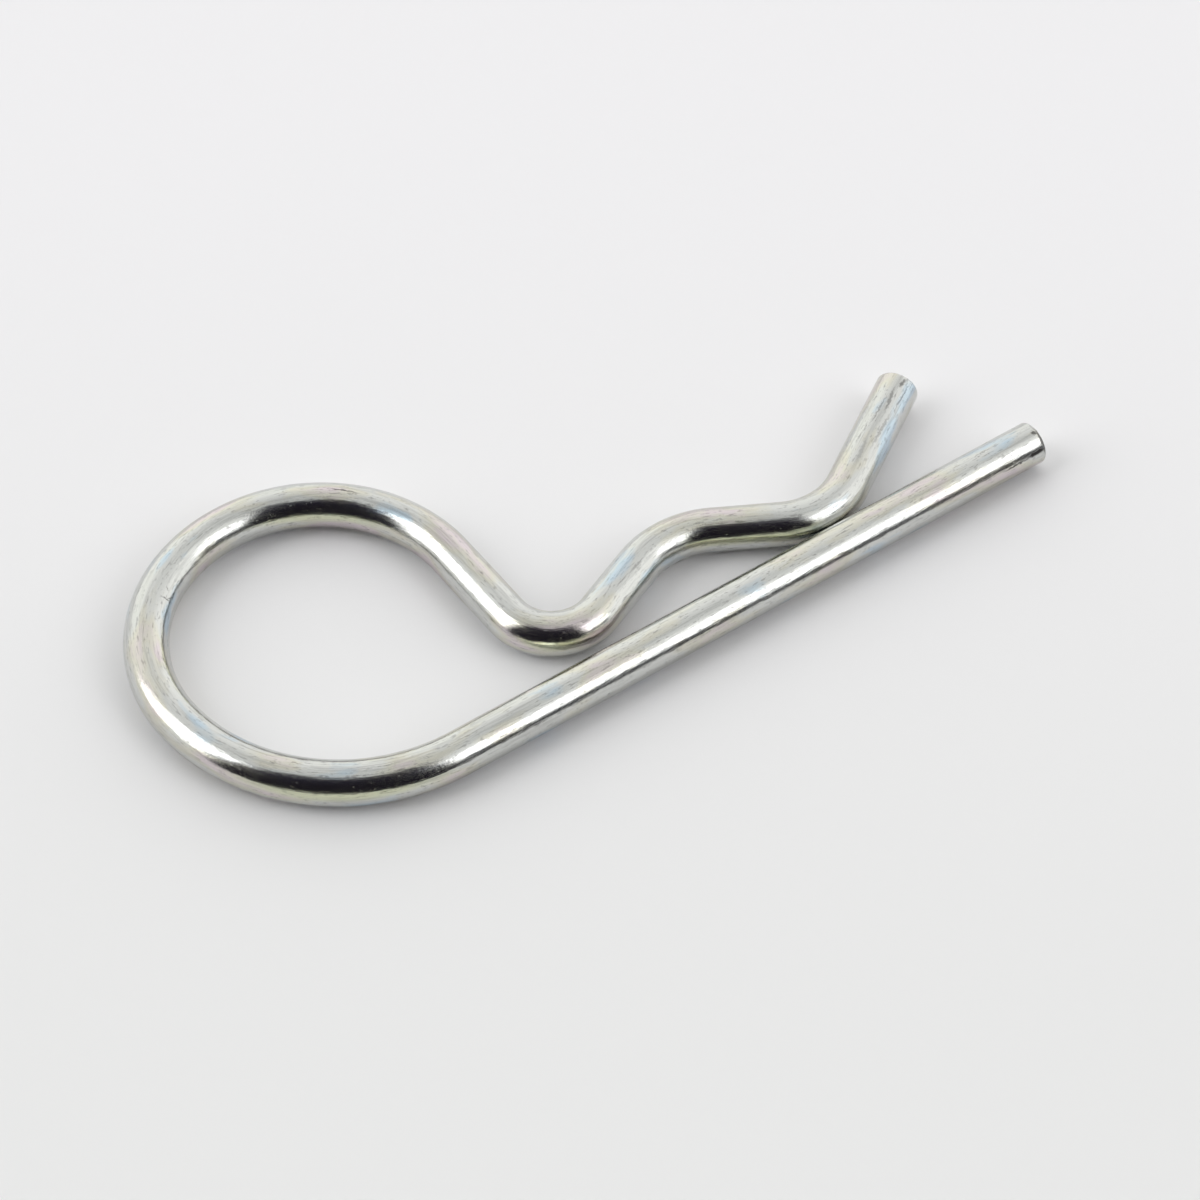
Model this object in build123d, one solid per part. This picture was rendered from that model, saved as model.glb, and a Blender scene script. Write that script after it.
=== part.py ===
from build123d import *
import math
import os

# Hairpin cotter pin (R-clip): one round steel wire bent in a plane and lying flat on z = 0.
# The straight leg runs along X and goes through the cross hole of a shaft. At its far end the wire
# turns up through the finger loop and comes back over the leg: first valley, hump, second valley and
# a flared tip. The hump is concentric with the shaft that the clip grips.
# Every bend is an arc, and the straights between bends are tangent to both of their arcs.
# The origin is under the middle of the clip, with the tip of the leg towards +X and the loop on -X.

# Driving dimensions (mm and degrees). Radii are to the centreline of the wire.
wire_diameter = 3.175
overall_length = 65.1
shaft_diameter = 11.1
loop_radius = 11.55
lead_radius = 14.4
lead_turn = 85.0
throat_length = 6.7
loop_valley_radius = 3.9
loop_ramp_length = 5.0
tip_ramp_length = 4.9
tip_valley_radius = 6.0
flare_angle = 32.4
flare_length = 10.2
loop_valley_gap = 1.1
tip_valley_gap = 0.1
end_rounding = 0.25

wire_radius = wire_diameter / 2
hump_radius = shaft_diameter / 2 + wire_radius

RIGHT_BEND_TO_LEFT = -1
LEFT_BEND_TO_RIGHT = 1


def polar(length, angle):
    """Vector of this length at this angle in the plane of the wire."""
    return Vector(length * math.cos(math.radians(angle)), length * math.sin(math.radians(angle)))


def centre_spacing(radius_sum, straight, rise):
    """Distance along X between two bend centres whose bends a tangent straight joins."""
    return math.sqrt(radius_sum**2 + straight**2 - rise**2)


def straight_heading(start, end, radius_sum, straight, change):
    """Heading of the tangent straight from the bend about start to the bend about end."""
    offset = end - start
    chord = math.degrees(math.atan2(offset.Y, offset.X))
    return chord + change * math.degrees(math.atan2(radius_sum, straight))


def left_bend(centre, radius, heading_in, heading_out):
    """Arc that turns left from one heading to another."""
    return CenterArc(centre, radius, heading_in - 90, heading_out - heading_in)


def right_bend(centre, radius, heading_in, heading_out):
    """Arc that turns right from one heading to another."""
    return CenterArc(centre, radius, heading_in + 90, heading_out - heading_in)


# Centres of the bends, measured from the shaft's centre on the axis of the straight leg.
hump_centre = Vector(0, 0)

loop_valley_y = wire_diameter + loop_valley_gap + loop_valley_radius
loop_valley_x = -centre_spacing(hump_radius + loop_valley_radius, loop_ramp_length, loop_valley_y)
loop_valley_centre = Vector(loop_valley_x, loop_valley_y)

tip_valley_y = wire_diameter + tip_valley_gap + tip_valley_radius
tip_valley_x = centre_spacing(hump_radius + tip_valley_radius, tip_ramp_length, tip_valley_y)
tip_valley_centre = Vector(tip_valley_x, tip_valley_y)

lead_to_loop = polar(lead_radius - loop_radius, -90 - lead_turn)
loop_y = lead_radius + lead_to_loop.Y
loop_from_valley = centre_spacing(loop_radius + loop_valley_radius, throat_length, loop_y - loop_valley_y)
loop_centre = Vector(loop_valley_x - loop_from_valley, loop_y)
lead_centre = loop_centre - lead_to_loop

leg_tip = Vector(loop_centre.X - loop_radius - wire_radius + overall_length, 0)
overall_width = wire_radius + loop_y + loop_radius + wire_radius


def centreline():
    """Centreline of the wire, from the tip of the straight leg to the flared tip."""
    throat_heading = straight_heading(
        loop_centre,
        loop_valley_centre,
        loop_radius + loop_valley_radius,
        throat_length,
        RIGHT_BEND_TO_LEFT,
    )
    rise_heading = straight_heading(
        loop_valley_centre,
        hump_centre,
        loop_valley_radius + hump_radius,
        loop_ramp_length,
        LEFT_BEND_TO_RIGHT,
    )
    fall_heading = straight_heading(
        hump_centre,
        tip_valley_centre,
        hump_radius + tip_valley_radius,
        tip_ramp_length,
        RIGHT_BEND_TO_LEFT,
    )
    # The throat points back down at the leg, so its heading is below -90 rather than above 180.
    lead = right_bend(lead_centre, lead_radius, 180, 180 - lead_turn)
    loop = right_bend(loop_centre, loop_radius, 180 - lead_turn, throat_heading)
    loop_valley = left_bend(loop_valley_centre, loop_valley_radius, throat_heading, rise_heading)
    hump = right_bend(hump_centre, hump_radius, rise_heading, fall_heading)
    tip_valley = left_bend(tip_valley_centre, tip_valley_radius, fall_heading, flare_angle)
    leg = Line(leg_tip, lead @ 0)
    throat = Line(loop @ 1, loop_valley @ 0)
    loop_ramp = Line(loop_valley @ 1, hump @ 0)
    tip_ramp = Line(hump @ 1, tip_valley @ 0)
    flare = Line(tip_valley @ 1, (tip_valley @ 1) + polar(flare_length, flare_angle))
    return Wire([leg, lead, loop, throat, loop_valley, loop_ramp, hump, tip_ramp, tip_valley, flare])


def cotter_pin():
    """The bent wire, lying on z = 0 with the origin under the middle of its outline."""
    path = centreline()
    section = Plane(origin=path @ 0, z_dir=path % 0) * Circle(wire_radius)
    bent_wire = sweep(section, path=path)
    end_faces = [face for face in bent_wire.faces() if face.geom_type == GeomType.PLANE]
    end_edges = [edge for face in end_faces for edge in face.edges()]
    clip = fillet(end_edges, end_rounding)
    middle_x = leg_tip.X - overall_length / 2
    middle_y = overall_width / 2 - wire_radius
    return Pos(-middle_x, -middle_y, wire_radius) * clip


os.makedirs("parts", exist_ok=True)
export_step(cotter_pin(), "parts/cotter_pin.step")
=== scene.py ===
"""Hairpin cotter pin: one bent, zinc-plated spring wire lying on a pale table in a light tent."""

import logging
import math
from dataclasses import dataclass, field
from enum import Enum
from typing import Any

import bpy
from mathutils import Matrix, Vector


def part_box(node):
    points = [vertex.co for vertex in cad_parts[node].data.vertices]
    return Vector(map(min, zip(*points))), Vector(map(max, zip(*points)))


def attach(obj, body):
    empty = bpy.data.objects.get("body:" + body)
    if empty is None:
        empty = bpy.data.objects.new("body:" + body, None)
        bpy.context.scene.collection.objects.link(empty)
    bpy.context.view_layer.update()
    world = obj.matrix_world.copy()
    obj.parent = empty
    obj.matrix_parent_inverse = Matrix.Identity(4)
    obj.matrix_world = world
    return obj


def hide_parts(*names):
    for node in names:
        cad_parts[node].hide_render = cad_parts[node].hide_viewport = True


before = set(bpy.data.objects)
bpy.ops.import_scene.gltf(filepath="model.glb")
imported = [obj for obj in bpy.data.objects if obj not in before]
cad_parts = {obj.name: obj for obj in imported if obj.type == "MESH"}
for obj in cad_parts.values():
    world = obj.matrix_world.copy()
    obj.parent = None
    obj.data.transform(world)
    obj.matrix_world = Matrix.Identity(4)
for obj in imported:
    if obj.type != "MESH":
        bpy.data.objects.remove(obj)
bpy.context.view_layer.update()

NODE = "cotter_pin"
MM = 0.001
LAY = "wire_lay"

log = logging.getLogger(NODE)


def linear(code: str) -> tuple[float, float, float, float]:
    """Turn an sRGB hex colour into linear RGBA.

    Args:
        code: The colour as "#rrggbb".

    Returns:
        Its linear red, green and blue, with an alpha of 1.
    """
    channels = [int(code[place:place + 2], 16) / 255 for place in (1, 3, 5)]
    curved = [c / 12.92 if c <= 0.04045 else ((c + 0.055) / 1.055) ** 2.4 for c in channels]
    return (curved[0], curved[1], curved[2], 1.0)


def add_node(tree: bpy.types.NodeTree, kind: str, feeds: dict[str | int, Any] | None = None,
             **settings: Any) -> bpy.types.Node:
    """Add a node, with its settings and what feeds its inputs.

    Args:
        tree: The tree that gets the node.
        kind: The node's type.
        feeds: For each input, by name or number, a socket to link or a value to set.
        settings: The node's own settings, by name.

    Returns:
        The new node.
    """
    node = tree.nodes.new(kind)
    for name, value in settings.items():
        setattr(node, name, value)
    for key, value in (feeds or {}).items():
        if isinstance(value, bpy.types.NodeSocket):
            tree.links.new(value, node.inputs[key])
        else:
            node.inputs[key].default_value = value
    return node


def new_material(name: str) -> bpy.types.Material:
    """Make a material whose node tree is empty."""
    material = bpy.data.materials.new(name)
    material.use_nodes = True
    material.node_tree.nodes.clear()
    return material


def polar(length: float, heading: float) -> Vector:
    """Vector of this length at this heading, in degrees, in the plane of the wire."""
    return Vector((length * math.cos(math.radians(heading)), length * math.sin(math.radians(heading))))


class Turn(Enum):
    """Which way the wire turns along a stretch, seen from above."""

    LEFT = 1
    STRAIGHT = 0
    RIGHT = -1


@dataclass(frozen=True)
class Stretch:
    """A straight, or a bend of one radius, that carries on from the stretch before it."""

    turn: Turn
    length: float
    radius: float = 1.0

    def place(self, start: Vector, heading: float, distance: float) -> tuple[Vector, float]:
        """Where the wire is, and where it points, part of the way along.

        Args:
            start: Where the stretch starts.
            heading: Where it points there, in degrees.
            distance: How far along the stretch the place is.

        Returns:
            The place, and its heading in degrees.
        """
        if self.turn is Turn.STRAIGHT:
            return start + polar(distance, heading), heading
        arm = polar(self.radius, heading - 90 * self.turn.value)
        swept = self.turn.value * distance / self.radius
        return start - arm + Matrix.Rotation(swept, 2) @ arm, heading + math.degrees(swept)


@dataclass
class HairpinWire:
    """The bent wire. Sizes are in millimetres and degrees, and radii are to its centreline."""

    shaft_diameter: float = 11.1
    loop_radius: float = 11.55
    lead_radius: float = 14.4
    lead_turn: float = 85.0
    throat_length: float = 6.7
    loop_valley_radius: float = 3.9
    loop_ramp_length: float = 5.0
    tip_ramp_length: float = 4.9
    tip_valley_radius: float = 6.0
    flare_angle: float = 32.4
    flare_length: float = 10.2
    loop_valley_gap: float = 1.1
    tip_valley_gap: float = 0.1
    end_rounding: float = 0.25
    cut_dish: float = 0.012
    cut_tear: float = 0.05
    tear_grain: float = 0.45
    station_spacing: float = 0.28
    face_rings: int = 8
    edge_rings: int = 10
    sides: int = 96
    seed: int = 7
    diameter: float = field(init=False)
    leg_tip: Vector = field(init=False)
    length: float = field(init=False)

    def __post_init__(self) -> None:
        """Take the wire's diameter, the leg's place and the clip's length from the CAD part."""
        low, high = (Vector(corner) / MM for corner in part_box(NODE))
        self.diameter = high.z - low.z
        self.leg_tip = Vector((high.x, low.y + self.diameter / 2))
        self.length = high.x - low.x
        log.info("CAD wire: diameter %.3f mm, length %.3f mm", self.diameter, self.length)

    def stretches(self) -> list[Stretch]:
        """Lay out the bends from the hump, which is concentric with the shaft that the clip grips.

        Returns:
            The stretches, from the tip of the straight leg to the flared tip.
        """
        hump_radius = (self.shaft_diameter + self.diameter) / 2

        def spacing(radius_sum: float, straight: float, rise: float) -> float:
            """Distance along X between two bend centres that a tangent straight joins."""
            return math.sqrt(radius_sum ** 2 + straight ** 2 - rise ** 2)

        def heading(start: Vector, end: Vector, radius_sum: float, straight: float, change: int) -> float:
            """Heading of the tangent straight from the bend about start to the bend about end."""
            run = end - start
            lean = math.degrees(math.atan2(radius_sum, straight))
            return math.degrees(math.atan2(run.y, run.x)) + change * lean

        hump = Vector((0, 0))
        near_y = self.diameter + self.loop_valley_gap + self.loop_valley_radius
        near_sum = hump_radius + self.loop_valley_radius
        near = Vector((-spacing(near_sum, self.loop_ramp_length, near_y), near_y))
        far_y = self.diameter + self.tip_valley_gap + self.tip_valley_radius
        far_sum = hump_radius + self.tip_valley_radius
        far = Vector((spacing(far_sum, self.tip_ramp_length, far_y), far_y))
        lead_to_loop = polar(self.lead_radius - self.loop_radius, -90 - self.lead_turn)
        loop_y = self.lead_radius + lead_to_loop.y
        throat_sum = self.loop_radius + self.loop_valley_radius
        loop = Vector((near.x - spacing(throat_sum, self.throat_length, loop_y - near_y), loop_y))
        leg_length = self.length - self.loop_radius - self.diameter / 2 + lead_to_loop.x

        throat = heading(loop, near, throat_sum, self.throat_length, Turn.RIGHT.value)
        rise = heading(near, hump, near_sum, self.loop_ramp_length, Turn.LEFT.value)
        fall = heading(hump, far, far_sum, self.tip_ramp_length, Turn.RIGHT.value)

        def bend(turn: Turn, radius: float, swept: float) -> Stretch:
            """A bend of this radius through this many degrees."""
            return Stretch(turn, radius * math.radians(swept), radius)

        return [
            Stretch(Turn.STRAIGHT, leg_length),
            bend(Turn.RIGHT, self.lead_radius, self.lead_turn),
            bend(Turn.RIGHT, self.loop_radius, 180 - self.lead_turn - throat),
            Stretch(Turn.STRAIGHT, self.throat_length),
            bend(Turn.LEFT, self.loop_valley_radius, rise - throat),
            Stretch(Turn.STRAIGHT, self.loop_ramp_length),
            bend(Turn.RIGHT, hump_radius, rise - fall),
            Stretch(Turn.STRAIGHT, self.tip_ramp_length),
            bend(Turn.LEFT, self.tip_valley_radius, self.flare_angle - fall),
            Stretch(Turn.STRAIGHT, self.flare_length),
        ]

    def stations(self, total: float) -> list[float]:
        """Choose how far along the wire its cross sections stand: close together at both cut ends.

        Args:
            total: The length of the whole wire.

        Returns:
            The distances from the tip of the straight leg.
        """
        face = [self.cut_dish * ring / self.face_rings for ring in range(self.face_rings)]
        quarter = [math.radians(90 * ring / self.edge_rings) for ring in range(self.edge_rings)]
        edge = [self.cut_dish + self.end_rounding * (1 - math.cos(angle)) for angle in quarter]
        start = face + edge
        inner = self.cut_dish + self.end_rounding
        count = round((total - 2 * inner) / self.station_spacing)
        middle = [inner + (total - 2 * inner) * step / count for step in range(count + 1)]
        return start + middle + [total - distance for distance in reversed(start)]

    def centreline(self) -> list[Vector]:
        """Follow the stretches from the tip of the straight leg.

        Returns:
            A point of the centreline at each station.
        """
        stretches = self.stretches()
        stations = self.stations(sum(stretch.length for stretch in stretches))
        place, heading, done = self.leg_tip, 180.0, 0.0
        points = []
        for stretch in stretches:
            last = stretch is stretches[-1]
            while stations and (last or stations[0] <= done + stretch.length):
                points.append(stretch.place(place, heading, stations.pop(0) - done)[0])
            place, heading = stretch.place(place, heading, stretch.length)
            done += stretch.length
        log.info("wire length %.3f mm, flared tip at %s", done, place)
        return points

    def path_object(self) -> bpy.types.Object:
        """Make the centreline a curve of straight spans, in metres and at the wire's height.

        Returns:
            The curve's object, linked to the scene.
        """
        curve = bpy.data.curves.new("wire_path", "CURVE")
        curve.dimensions = "3D"
        spline = curve.splines.new("POLY")
        points = self.centreline()
        spline.points.add(len(points) - 1)
        for point, place in zip(spline.points, points):
            point.co = (place.x * MM, place.y * MM, self.diameter / 2 * MM, 1.0)
        path = bpy.data.objects.new("wire_path", curve)
        bpy.context.scene.collection.objects.link(path)
        return path

    def drawing_tree(self, finish: bpy.types.Material) -> tuple[bpy.types.NodeTree, dict[str, str]]:
        """Build the node tree that draws the round wire along its path and tears its cut ends.

        Args:
            finish: The material of the wire.

        Returns:
            The tree, and the identifier of each of its inputs by name.
        """
        tree = bpy.data.node_groups.new("drawn_wire", "GeometryNodeTree")
        sockets = {
            "Path": "NodeSocketGeometry",
            "Wire Radius": "NodeSocketFloat",
            "End Rounding": "NodeSocketFloat",
            "Cut Dish": "NodeSocketFloat",
            "Cut Tear": "NodeSocketFloat",
            "Sides": "NodeSocketInt",
            "Seed": "NodeSocketFloat",
        }
        named = {name: tree.interface.new_socket(name, in_out="INPUT", socket_type=kind).identifier
                 for name, kind in sockets.items()}
        tree.interface.new_socket("Wire", in_out="OUTPUT", socket_type="NodeSocketGeometry")
        given = add_node(tree, "NodeGroupInput").outputs

        # How far each station is from the nearer cut end, and which way leads into the wire there.
        along = add_node(tree, "GeometryNodeSplineParameter").outputs["Length"]
        whole = add_node(tree, "GeometryNodeSplineLength").outputs["Length"]
        left = add_node(tree, "ShaderNodeMath", {0: whole, 1: along}, operation="SUBTRACT").outputs[0]
        depth = add_node(tree, "ShaderNodeMath", {0: along, 1: left}, operation="MINIMUM").outputs[0]
        side = add_node(tree, "ShaderNodeMath", {0: left, 1: along}, operation="SUBTRACT").outputs[0]
        inward = add_node(tree, "ShaderNodeMath", {0: side}, operation="SIGN").outputs[0]
        tangent = add_node(tree, "GeometryNodeInputTangent").outputs[0]
        into = add_node(tree, "ShaderNodeVectorMath", {0: tangent, "Scale": inward},
                        operation="SCALE").outputs[0]

        # The radius grows across the cut face, then around the rounded edge, to the full wire.
        core = add_node(tree, "ShaderNodeMath", {0: given["Wire Radius"], 1: given["End Rounding"]},
                        operation="SUBTRACT").outputs[0]
        face = add_node(tree, "ShaderNodeMath", {0: depth, 1: given["Cut Dish"]}, operation="DIVIDE",
                        use_clamp=True).outputs[0]
        face = add_node(tree, "ShaderNodeMath", {0: face, 1: 0.01}, operation="MAXIMUM").outputs[0]
        core = add_node(tree, "ShaderNodeMath", {0: core, 1: face}, operation="MULTIPLY").outputs[0]
        past = add_node(tree, "ShaderNodeMath", {0: depth, 1: given["Cut Dish"]},
                        operation="SUBTRACT").outputs[0]
        share = add_node(tree, "ShaderNodeMath", {0: past, 1: given["End Rounding"]}, operation="DIVIDE",
                         use_clamp=True).outputs[0]
        rest = add_node(tree, "ShaderNodeMath", {0: 2.0, 1: share}, operation="SUBTRACT").outputs[0]
        rise = add_node(tree, "ShaderNodeMath", {0: share, 1: rest}, operation="MULTIPLY").outputs[0]
        rise = add_node(tree, "ShaderNodeMath", {0: rise}, operation="SQRT").outputs[0]
        edge = add_node(tree, "ShaderNodeMath", {0: rise, 1: given["End Rounding"]},
                        operation="MULTIPLY").outputs[0]
        reach = add_node(tree, "ShaderNodeMath", {0: core, 1: edge}, operation="ADD").outputs[0]

        upright = add_node(tree, "GeometryNodeSetCurveNormal", {"Curve": given["Path"]}, mode="Z_UP")
        lengths = add_node(tree, "GeometryNodeCaptureAttribute", {"Geometry": upright.outputs[0]},
                           domain="POINT")
        lengths.capture_items.new("FLOAT", "Along")
        lengths.capture_items.new("FLOAT", "Depth")
        lengths.capture_items.new("VECTOR", "Into")
        lengths.capture_items.new("FLOAT", "Reach")
        for item, value in (("Along", along), ("Depth", depth), ("Into", into), ("Reach", reach)):
            tree.links.new(value, lengths.inputs[item])

        ring = add_node(tree, "GeometryNodeCurvePrimitiveCircle", {
            "Resolution": given["Sides"], "Radius": 1.0})
        rounds = add_node(tree, "GeometryNodeCaptureAttribute", {"Geometry": ring.outputs[0]},
                          domain="POINT")
        rounds.capture_items.new("VECTOR", "Around")
        tree.links.new(add_node(tree, "GeometryNodeInputPosition").outputs[0], rounds.inputs["Around"])
        drawn = add_node(tree, "GeometryNodeCurveToMesh", {
            "Curve": lengths.outputs["Geometry"], "Profile Curve": rounds.outputs["Geometry"],
            "Scale": reach, "Fill Caps": True})

        # The lay of the wire, in millimetres: across and up in its cross section, then along it.
        flat = add_node(tree, "ShaderNodeSeparateXYZ", {0: rounds.outputs["Around"]})
        across = add_node(tree, "ShaderNodeMath", {0: flat.outputs[0], 1: lengths.outputs["Reach"]},
                          operation="MULTIPLY").outputs[0]
        down = add_node(tree, "ShaderNodeMath", {0: flat.outputs[1], 1: lengths.outputs["Reach"]},
                        operation="MULTIPLY").outputs[0]
        up = add_node(tree, "ShaderNodeMath", {0: down, 1: -1.0}, operation="MULTIPLY").outputs[0]
        lay = add_node(tree, "ShaderNodeCombineXYZ", {
            0: across, 1: up, 2: lengths.outputs["Along"]}).outputs[0]
        lay = add_node(tree, "ShaderNodeVectorMath", {0: lay, "Scale": 1 / MM},
                       operation="SCALE").outputs[0]
        laid = add_node(tree, "GeometryNodeStoreNamedAttribute", {
            "Geometry": drawn.outputs[0], "Name": LAY, "Value": lay},
            data_type="FLOAT_VECTOR", domain="POINT")

        # The cut faces tear inwards only, by a noise that is strongest on the face and fades out partway
        # round the rounded edge.
        where = add_node(tree, "GeometryNodeInputPosition").outputs[0]
        grit = add_node(tree, "ShaderNodeTexNoise", {
            "Vector": where, "W": given["Seed"], "Scale": 1 / (self.tear_grain * MM), "Detail": 4.0},
            noise_dimensions="4D")
        near = add_node(tree, "ShaderNodeMapRange", {
            0: lengths.outputs["Depth"], 1: 0.6 * self.end_rounding * MM, 2: self.cut_dish * MM}).outputs[0]
        tear = add_node(tree, "ShaderNodeMath", {0: grit.outputs[0], 1: near},
                        operation="MULTIPLY").outputs[0]
        tear = add_node(tree, "ShaderNodeMath", {0: tear, 1: given["Cut Tear"]},
                        operation="MULTIPLY").outputs[0]
        pull = add_node(tree, "ShaderNodeVectorMath", {0: lengths.outputs["Into"], "Scale": tear},
                        operation="SCALE").outputs[0]
        torn = add_node(tree, "GeometryNodeSetPosition", {"Geometry": laid.outputs[0], "Offset": pull})
        smooth = add_node(tree, "GeometryNodeSetShadeSmooth", {"Geometry": torn.outputs[0]})
        real = add_node(tree, "GeometryNodeRealizeInstances", {"Geometry": smooth.outputs[0]})
        dressed = add_node(tree, "GeometryNodeSetMaterial", {
            "Geometry": real.outputs[0], "Material": finish})
        add_node(tree, "NodeGroupOutput", {0: dressed.outputs[0]})
        return tree, named

    def build(self, finish: bpy.types.Material) -> bpy.types.Object:
        """Draw the wire and turn it into a plain mesh.

        Args:
            finish: The material of the wire.

        Returns:
            The wire's object, which stands for the CAD node.
        """
        path = self.path_object()
        tree, named = self.drawing_tree(finish)
        modifier = path.modifiers.new("drawn_wire", "NODES")
        modifier.node_group = tree
        sizes = {
            "Wire Radius": self.diameter / 2 * MM,
            "End Rounding": self.end_rounding * MM,
            "Cut Dish": self.cut_dish * MM,
            "Cut Tear": self.cut_tear * MM,
            "Sides": self.sides,
            "Seed": float(self.seed),
        }
        for name, value in sizes.items():
            modifier[named[name]] = value
        bpy.context.view_layer.update()
        evaluated = path.evaluated_get(bpy.context.evaluated_depsgraph_get())
        mesh = bpy.data.meshes.new_from_object(evaluated)
        path.modifiers.clear()
        bpy.data.objects.remove(path)
        mesh.name = "hairpin_wire"
        wire = bpy.data.objects.new("hairpin_wire", mesh)
        bpy.context.scene.collection.objects.link(wire)
        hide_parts(NODE)
        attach(wire, "root")
        log.info("hairpin_wire: %d vertices, %d faces", len(mesh.vertices), len(mesh.polygons))
        return wire


@dataclass(frozen=True)
class Mark:
    """A dull mark in the plating, in millimetres and degrees on the wire's lay.

    Around is measured from the top of the wire towards its right side, looking away from the leg's tip.
    """

    along: float
    around: float
    length: float
    width: float
    slant: float = 0.0
    strength: float = 0.8


@dataclass(frozen=True)
class BrightZinc:
    """Electroplated zinc with a clear passivate over cold-drawn spring steel, in millimetres."""

    silver: str = "#D0D1CE"
    straw: str = "#D1CFC3"
    blue: str = "#BECCD6"
    rose: str = "#D2C9CB"
    # Greenish-yellow tint of a painted reflection, laid on the side facing the open front.
    painted_reflection_tint: str = "#CED1B7"
    grime: str = "#2E2A2A"
    roughness: float = 0.13
    roughness_spread: float = 0.07
    dull_roughness: float = 0.25
    draw_line: float = 0.06
    draw_run: float = 0.4
    draw_height: float = 0.008
    film_patch: float = 2.2
    speck: float = 0.11
    speck_share: float = 0.6
    fleck_heights: tuple[float, float] = (0.88, 1.1)
    fleck_strength: float = 0.42
    streak: float = 0.35
    streak_levels: tuple[float, float] = (0.5, 0.3)
    streak_strength: float = 0.24
    mark_fray: float = 0.35
    # Which way the painted reflection faces, the tent's open front a little above level, and how far round
    # it reaches.
    painted_reflection_side: tuple[float, float, float] = (-0.495, -0.731, 0.469)
    painted_reflection_reach: tuple[float, float] = (0.86, 0.99)
    marks: tuple[Mark, ...] = (
        Mark(98.1, -5.0, 2.2, 0.12, 4.0, 0.8),
        Mark(97.6, 8.0, 1.0, 0.07, 2.0, 0.5),
        Mark(80.75, 45.0, 0.14, 1.0, 0.0, 0.55),
        Mark(81.1, 55.0, 0.8, 0.10, 35.0, 0.6),
        Mark(81.6, 36.0, 0.45, 0.1, -30.0, 0.4),
        Mark(153.5, 20.0, 0.9, 0.3, 12.0, 0.65),
        Mark(152.4, 36.0, 2.6, 0.14, 3.0, 0.5),
        Mark(151.6, 10.0, 2.8, 0.22, -4.0, 0.5),
        Mark(150.4, -4.0, 3.0, 0.16, 3.0, 0.4),
        Mark(148.8, 26.0, 3.6, 0.24, 2.0, 0.35),
        Mark(146.3, 5.0, 3.0, 0.3, -3.0, 0.3),
        Mark(0.9, -62.0, 1.9, 0.36, 0.0, 0.95),
        Mark(0.45, -12.0, 0.5, 0.3, 20.0, 0.75),
        Mark(0.2, -40.0, 0.25, 2.2, 0.0, 0.8),
        Mark(2.6, -66.0, 2.6, 0.14, 0.0, 0.8),
        Mark(4.6, 10.0, 1.6, 0.12, 0.0, 0.3),
        Mark(20.0, -20.0, 0.3, 0.16, 20.0, 0.4),
        Mark(33.0, 4.0, 0.5, 0.12, -10.0, 0.35),
        Mark(60.5, 10.0, 0.9, 0.1, 4.0, 0.4),
        Mark(125.5, 20.0, 1.8, 0.16, 3.0, 0.35),
    )

    def spot(self, tree: bpy.types.NodeTree, lay: bpy.types.NodeSocket, mark: Mark) -> bpy.types.NodeSocket:
        """Mask one mark on the lay of the wire.

        Args:
            tree: The finish's node tree.
            lay: The lay, with its edges already ragged, as (right, up, along).
            mark: The mark.

        Returns:
            A socket that is the mark's strength in its middle and 0 past its edges.
        """
        turn = math.radians(mark.around)
        parts = add_node(tree, "ShaderNodeSeparateXYZ", {0: lay}).outputs
        # Turning the section puts the mark on top, so its place around the wire is a level distance.
        level = add_node(tree, "ShaderNodeVectorMath", {
            0: lay, 1: (math.cos(turn), -math.sin(turn), 0.0)}, operation="DOT_PRODUCT").outputs["Value"]
        facing = add_node(tree, "ShaderNodeVectorMath", {
            0: lay, 1: (math.sin(turn), math.cos(turn), 0.0)}, operation="DOT_PRODUCT").outputs["Value"]
        onward = add_node(tree, "ShaderNodeMath", {0: parts[2], 1: mark.along},
                          operation="SUBTRACT").outputs[0]
        place = add_node(tree, "ShaderNodeCombineXYZ", {0: onward, 1: level}).outputs[0]
        size = (mark.length / 2, mark.width / 2, 1.0)
        local = add_node(tree, "ShaderNodeMapping", {
            "Vector": place, "Rotation": (0, 0, math.radians(mark.slant)), "Scale": size},
            vector_type="TEXTURE")
        reach = add_node(tree, "ShaderNodeVectorMath", {0: local.outputs[0]},
                         operation="LENGTH").outputs["Value"]
        inside = add_node(tree, "ShaderNodeMapRange", {
            0: reach, 1: 1.25, 2: 0.55, 4: mark.strength}).outputs[0]
        shown = add_node(tree, "ShaderNodeMath", {0: facing, 1: 0.0}, operation="GREATER_THAN").outputs[0]
        return add_node(tree, "ShaderNodeMath", {0: inside, 1: shown}, operation="MULTIPLY").outputs[0]

    def material(self) -> bpy.types.Material:
        """Build the finish: a soft metal mirror, faintly tinted, with fine lines along the wire.

        Returns:
            The material.
        """
        # Zinc plate on drawn wire: a soft metal mirror that shows the room in bright and black bands.
        # The film tints it, and the wire's own draw lines and flecks fray the bands' edges.
        material = new_material("bright_zinc_plate")
        tree = material.node_tree
        lay = add_node(tree, "ShaderNodeAttribute", attribute_name=LAY).outputs["Vector"]

        # Draw lines: the die's fine grooves, long along the wire, which fray the edges of reflections.
        # Real ones are about 0.02 mm apart, too fine to show, so these are three times as coarse.
        run = self.draw_line / self.draw_run
        stretched = add_node(tree, "ShaderNodeMapping", {
            "Vector": lay, "Scale": (1.0, 1.0, run)}).outputs[0]
        lines = add_node(tree, "ShaderNodeTexNoise", {
            "Vector": stretched, "Scale": 0.5 / self.draw_line, "Detail": 1.0, "Roughness": 0.5}).outputs[0]
        grain = add_node(tree, "ShaderNodeTexNoise", {
            "Vector": lay, "Scale": 0.5 / self.speck, "Detail": 3.0, "Roughness": 0.65}).outputs[0]
        relief = add_node(tree, "ShaderNodeMath", {0: grain, 1: self.speck_share, 2: lines},
                          operation="MULTIPLY_ADD").outputs[0]

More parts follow.
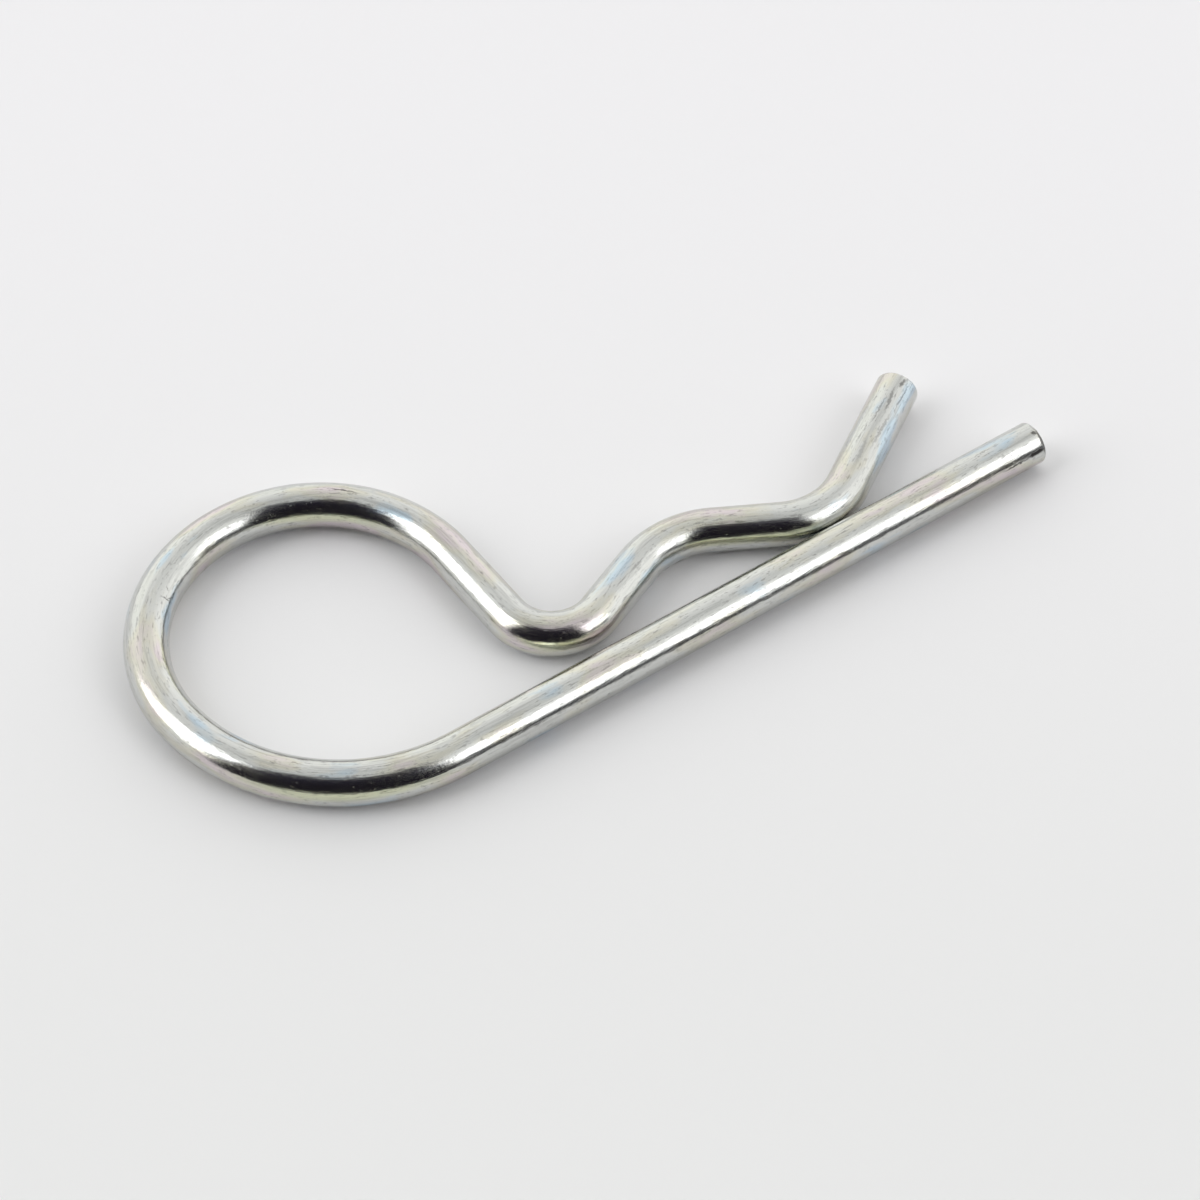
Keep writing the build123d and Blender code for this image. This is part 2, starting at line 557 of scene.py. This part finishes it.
        # The passivate is a thin film: it shifts from silver to straw, blue and rose in long soft patches.
        drift = add_node(tree, "ShaderNodeMapping", {"Vector": lay, "Scale": (1.0, 1.0, 0.3)}).outputs[0]
        patches = add_node(tree, "ShaderNodeTexNoise", {
            "Vector": drift, "Scale": 1 / self.film_patch, "Detail": 3.0}).outputs[0]
        tint = add_node(tree, "ShaderNodeValToRGB", {0: patches})
        stops = {0.34: self.rose, 0.42: self.straw, 0.5: self.silver, 0.6: self.silver, 0.68: self.blue}
        ramp = tint.color_ramp
        while len(ramp.elements) < len(stops):
            ramp.elements.new(1.0)
        for element, (position, colour) in zip(ramp.elements, stops.items()):
            element.position, element.color = position, linear(colour)

        # Painted reflection: the plating is tinted greenish-yellow on the side that faces the tent's open
        # front, standing in for the tinted reflection the wire shows there.
        facing = add_node(tree, "ShaderNodeTexCoord").outputs["Normal"]
        painted_reflection = add_node(tree, "ShaderNodeVectorMath", {0: facing, 1: self.painted_reflection_side},
                           operation="DOT_PRODUCT").outputs["Value"]
        reflection_fade_start, reflection_full = self.painted_reflection_reach
        painted_reflection = add_node(tree, "ShaderNodeMapRange", {0: painted_reflection, 1: reflection_fade_start, 2: reflection_full},
                           interpolation_type="SMOOTHSTEP").outputs[0]
        plate = add_node(tree, "ShaderNodeMix", {0: painted_reflection, 6: tint.outputs[0], 7: linear(self.painted_reflection_tint)},
                         data_type="RGBA").outputs[2]

        # Mill streaks and specks: dull flecks where the plating is thin.
        thin, bare = self.fleck_heights
        flecks = add_node(tree, "ShaderNodeMapRange", {
            0: relief, 1: thin, 2: bare, 3: 0.0, 4: self.fleck_strength}).outputs[0]
        long = add_node(tree, "ShaderNodeMapping", {"Vector": lay, "Scale": (1.0, 1.0, 0.06)}).outputs[0]
        streaks = add_node(tree, "ShaderNodeTexNoise", {
            "Vector": long, "Scale": 1 / self.streak, "Detail": 3.0, "Roughness": 0.7}).outputs[0]
        faint, full = self.streak_levels
        streaks = add_node(tree, "ShaderNodeMapRange", {
            0: streaks, 1: faint, 2: full, 3: 0.0, 4: self.streak_strength}).outputs[0]
        dull = add_node(tree, "ShaderNodeMath", {0: flecks, 1: streaks}, operation="MAXIMUM").outputs[0]

        # The marks' edges are made ragged by moving the lay a little before they are measured.
        shift = add_node(tree, "ShaderNodeTexNoise", {
            "Vector": lay, "Scale": 4.0, "Detail": 2.0}).outputs[1]
        ragged = add_node(tree, "ShaderNodeVectorMath", {0: shift, 1: (-0.5, -0.5, -0.5)}).outputs[0]
        ragged = add_node(tree, "ShaderNodeVectorMath", {0: ragged, 1: (self.mark_fray,) * 3, 2: lay},
                          operation="MULTIPLY_ADD").outputs[0]
        for mark in self.marks:
            spot = self.spot(tree, ragged, mark)
            dull = add_node(tree, "ShaderNodeMath", {0: dull, 1: spot}, operation="MAXIMUM").outputs[0]
        colour = add_node(tree, "ShaderNodeMix", {0: dull, 6: plate, 7: linear(self.grime)},
                          data_type="RGBA").outputs[2]
        rough = add_node(tree, "ShaderNodeMapRange", {
            0: grain, 1: 0.3, 2: 0.7, 3: self.roughness,
            4: self.roughness + self.roughness_spread}).outputs[0]
        rough = add_node(tree, "ShaderNodeMath", {0: dull, 1: self.dull_roughness, 2: rough},
                         operation="MULTIPLY_ADD").outputs[0]
        bump = add_node(tree, "ShaderNodeBump", {
            "Height": relief, "Strength": 1.0, "Distance": self.draw_height * MM})
        shader = add_node(tree, "ShaderNodeBsdfPrincipled", {
            "Base Color": colour, "Metallic": 1.0, "Roughness": rough, "Normal": bump.outputs[0]})
        add_node(tree, "ShaderNodeOutputMaterial", {0: shader.outputs[0]})
        return material


@dataclass(frozen=True)
class Panel:
    """Part of the tent's inside, between two azimuths and two angles from the zenith, in degrees.

    Azimuth is from the tent's open front and grows to its right, seen from that front.
    """

    name: str
    colour: tuple[float, float, float]
    azimuth: tuple[float, float]
    zenith: tuple[float, float]
    azimuth_soft: float = 8.0
    zenith_soft: float = 8.0


@dataclass
class LightTent:
    """A white tent around the table, lit through both sides and open at the front."""

    heading: float = -34.13
    radius: float = 3.0
    panels: tuple[Panel, ...] = (
        Panel("back_wall", (1.0, 1.0, 0.99), (90, 270), (32, 95), 30, 50),
        Panel("back_left", (1.16, 1.17, 1.12), (185, 235), (52, 95), 30, 20),
        Panel("back_right", (1.16, 1.16, 1.14), (115, 165), (55, 95), 30, 20),
        Panel("right_wall", (1.15, 1.15, 1.13), (76, 112), (30, 90), 10, 20),
        Panel("left_box", (2.7, 2.7, 2.7), (-105, -63), (30, 76), 6, 6),
        Panel("left_low", (0.8, 0.8, 0.77), (-107, -62), (77, 95), 6, 6),
        Panel("right_box", (2.4, 2.4, 2.42), (48, 84), (37, 66), 6, 14),
        Panel("right_top", (0.95, 0.95, 0.93), (48, 84), (20, 34), 6, 8),
        Panel("right_low", (0.08, 0.08, 0.085), (43, 78), (71, 100), 8, 6),
        Panel("open_top", (0.10, 0.10, 0.11), (-66, 56), (13, 27), 8, 8),
        Panel("open_front", (0.013, 0.011, 0.020), (-57, 45), (22, 100), 6, 14),
    )
    exposure: float = 1.06
    ceiling: tuple[float, float, float] = (0.68, 0.69, 0.68)

    def toward(self, azimuth: float) -> Vector:
        """Level direction at this azimuth from the open front.

        Args:
            azimuth: The angle in degrees, growing to the front's right.

        Returns:
            The unit vector.
        """
        angle = math.radians(self.heading - 90 + azimuth)
        return Vector((math.cos(angle), math.sin(angle), 0.0))

    def mask(self, tree: bpy.types.NodeTree, ray: bpy.types.NodeSocket, zenith: bpy.types.NodeSocket,
             panel: Panel) -> bpy.types.NodeSocket:
        """Mask one panel by the direction from the table.

        Args:
            tree: The tent's node tree.
            ray: The direction from the table's middle.
            zenith: Its angle from the zenith, in degrees.
            panel: The panel.

        Returns:
            A socket that is 1 on the panel and 0 off it.
        """
        middle = sum(panel.azimuth) / 2
        half = (panel.azimuth[1] - panel.azimuth[0]) / 2
        ahead = add_node(tree, "ShaderNodeVectorMath", {0: ray, 1: self.toward(middle)},
                         operation="DOT_PRODUCT").outputs["Value"]
        aside = add_node(tree, "ShaderNodeVectorMath", {0: ray, 1: self.toward(middle + 90)},
                         operation="DOT_PRODUCT").outputs["Value"]
        swing = add_node(tree, "ShaderNodeMath", {0: aside, 1: ahead}, operation="ARCTAN2").outputs[0]
        swing = add_node(tree, "ShaderNodeMath", {0: swing}, operation="ABSOLUTE").outputs[0]
        swing = add_node(tree, "ShaderNodeMath", {0: swing}, operation="DEGREES").outputs[0]
        edge = panel.azimuth_soft / 2
        level = add_node(tree, "ShaderNodeMapRange", {0: swing, 1: half + edge, 2: half - edge},
                         interpolation_type="SMOOTHSTEP").outputs[0]
        edge = panel.zenith_soft / 2
        upper, lower = panel.zenith
        top = add_node(tree, "ShaderNodeMapRange", {0: zenith, 1: upper - edge, 2: upper + edge},
                       interpolation_type="SMOOTHSTEP").outputs[0]
        foot = add_node(tree, "ShaderNodeMapRange", {0: zenith, 1: lower + edge, 2: lower - edge},
                        interpolation_type="SMOOTHSTEP").outputs[0]
        upright = add_node(tree, "ShaderNodeMath", {0: top, 1: foot}, operation="MULTIPLY").outputs[0]
        return add_node(tree, "ShaderNodeMath", {0: level, 1: upright}, operation="MULTIPLY").outputs[0]

    def cloth(self) -> bpy.types.Material:
        """Make the glow of the tent's inside from its panels.

        Returns:
            The material.
        """
        # White nylon lit from outside: broad soft light, and clean bright strips along the metal.
        material = new_material("lit_tent_cloth")
        tree = material.node_tree
        place = add_node(tree, "ShaderNodeTexCoord").outputs["Object"]
        ray = add_node(tree, "ShaderNodeVectorMath", {0: place}, operation="NORMALIZE").outputs[0]
        height = add_node(tree, "ShaderNodeSeparateXYZ", {0: ray}).outputs[2]
        zenith = add_node(tree, "ShaderNodeMath", {0: height}, operation="ARCCOSINE").outputs[0]
        zenith = add_node(tree, "ShaderNodeMath", {0: zenith}, operation="DEGREES").outputs[0]
        glow = add_node(tree, "ShaderNodeRGB").outputs[0]
        glow.default_value = (*self.ceiling, 1.0)
        for panel in self.panels:
            share = self.mask(tree, ray, zenith, panel)
            glow = add_node(tree, "ShaderNodeMix", {
                0: share, 6: glow, 7: (*panel.colour, 1.0)}, data_type="RGBA", label=panel.name).outputs[2]
        light = add_node(tree, "ShaderNodeEmission", {0: glow, 1: self.exposure})
        add_node(tree, "ShaderNodeOutputMaterial", {0: light.outputs[0]})
        return material

    def build(self) -> bpy.types.Object:
        """Raise the tent, which lights the object and shows in the metal but not in the background.

        Returns:
            The tent's object.
        """
        bpy.ops.mesh.primitive_uv_sphere_add(segments=64, ring_count=32, radius=self.radius)
        tent = bpy.context.object
        tent.name = "light_tent"
        tent.data.materials.append(self.cloth())
        tent.visible_camera = False
        tent.visible_shadow = False
        tent.data.materials[0].cycles.emission_sampling = "NONE"
        return tent


@dataclass
class Table:
    """The pale matt table, and the plain background past its edge."""

    # Painted light falloff: the card is coloured a touch darker towards the camera and brighter away from
    # it.
    near_painted_shade_colour: str = "#F1F1F1"
    far_painted_light_colour: str = "#F7F6F8"
    fade: float = 0.05
    away: tuple[float, float, float] = (0.561, 0.828, 0.0)
    background: str = "#EDEDED"
    radius: float = 2.9

    def build(self) -> bpy.types.Object:
        """Lay the table under the object.

        Returns:
            The table's object.
        """
        # Matt white card: no shine of its own. It shows the clip's soft shadow, and its colour also holds a
        # painted light falloff, a touch darker towards the open front and brighter behind.
        material = new_material("matt_white_board")
        tree = material.node_tree
        # Painted light: the card's colour ramps from darker at the open front to brighter away from the
        # camera.
        place = add_node(tree, "ShaderNodeTexCoord").outputs["Object"]
        depth = add_node(tree, "ShaderNodeVectorMath", {0: place, 1: self.away},
                         operation="DOT_PRODUCT").outputs["Value"]
        share = add_node(tree, "ShaderNodeMapRange", {0: depth, 1: -self.fade, 2: self.fade},
                         interpolation_type="SMOOTHSTEP").outputs[0]
        board = add_node(tree, "ShaderNodeMix", {
            0: share, 6: linear(self.near_painted_shade_colour), 7: linear(self.far_painted_light_colour)}, data_type="RGBA").outputs[2]
        shader = add_node(tree, "ShaderNodeBsdfPrincipled", {
            "Base Color": board, "Roughness": 0.9, "Specular IOR Level": 0.2})
        add_node(tree, "ShaderNodeOutputMaterial", {0: shader.outputs[0]})
        bpy.ops.mesh.primitive_circle_add(vertices=128, radius=self.radius, fill_type="NGON")
        table = bpy.context.object
        table.name = "table_top"
        table.data.materials.append(material)
        world = bpy.data.worlds.new("plain_background")
        bpy.context.scene.world = world
        world.use_nodes = True
        world.node_tree.nodes.clear()
        back = add_node(world.node_tree, "ShaderNodeBackground", {0: linear(self.background)})
        add_node(world.node_tree, "ShaderNodeOutputWorld", {0: back.outputs[0]})
        return table


@dataclass
class Camera:
    """The camera, which looks down at the clip from its open side."""

    target: tuple[float, float, float] = (-1.42, -7.32, 1.5875)
    distance: float = 250.0
    heading: float = -34.13
    elevation: float = 51.94
    lens: float = 107.88

    def build(self) -> bpy.types.Object:
        """Set the camera up and make it the scene's camera.

        Returns:
            The camera's object.
        """
        data = bpy.data.cameras.new("camera")
        data.lens = self.lens
        data.sensor_width = 36.0
        data.clip_start = 0.01
        data.clip_end = 20.0
        camera = bpy.data.objects.new("camera", data)
        turn, tilt = math.radians(self.heading), math.radians(self.elevation)
        back = Vector((math.sin(turn) * math.cos(tilt), -math.cos(turn) * math.cos(tilt), math.sin(tilt)))
        camera.location = (Vector(self.target) + back * self.distance) * MM
        camera.rotation_euler = back.to_track_quat("Z", "Y").to_euler()
        bpy.context.scene.collection.objects.link(camera)
        bpy.context.scene.camera = camera
        return camera


def main() -> None:
    """Build the clip and what stands around it."""
    logging.basicConfig(level=logging.INFO, format="%(name)s: %(message)s")
    bpy.context.scene.view_settings.view_transform = "Standard"
    for piece in (Camera().build(), Table().build(), LightTent().build()):
        log.info("%s: %s", piece.name, piece.type.lower())
    HairpinWire().build(BrightZinc().material())


if __name__ == "__main__":
    main()
